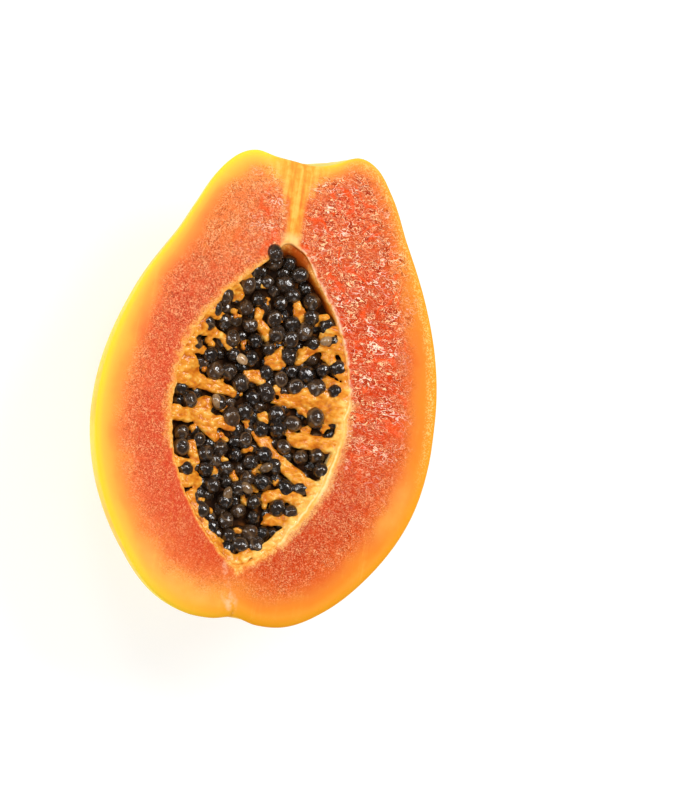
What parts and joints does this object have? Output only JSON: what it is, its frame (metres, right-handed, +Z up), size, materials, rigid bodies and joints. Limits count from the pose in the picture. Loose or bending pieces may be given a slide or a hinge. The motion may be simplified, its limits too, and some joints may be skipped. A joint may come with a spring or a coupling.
{
  "type": "papaya half",
  "caption": "Ripe papaya half, cut lengthwise and lying on its skin: thick orange flesh round a spindle-shaped cavity full of dark round seeds and strands of pulp.",
  "frame": {"origin": "on the surface that the half rests on, under the middle of its bounding box", "axes": "+Z up, out of the cut face; +Y along the fruit's axis from the blossom end to the stem end; +X to the right as seen from above"},
  "size_m": [0.1198, 0.1636, 0.0572],
  "materials": {
    "flesh": "moist",
    "seeds": "glossy"
  },
  "bodies": {
    "root": {"papaya_half": "flesh", "seed_mass": "seeds"}
  },
  "joints": []
}
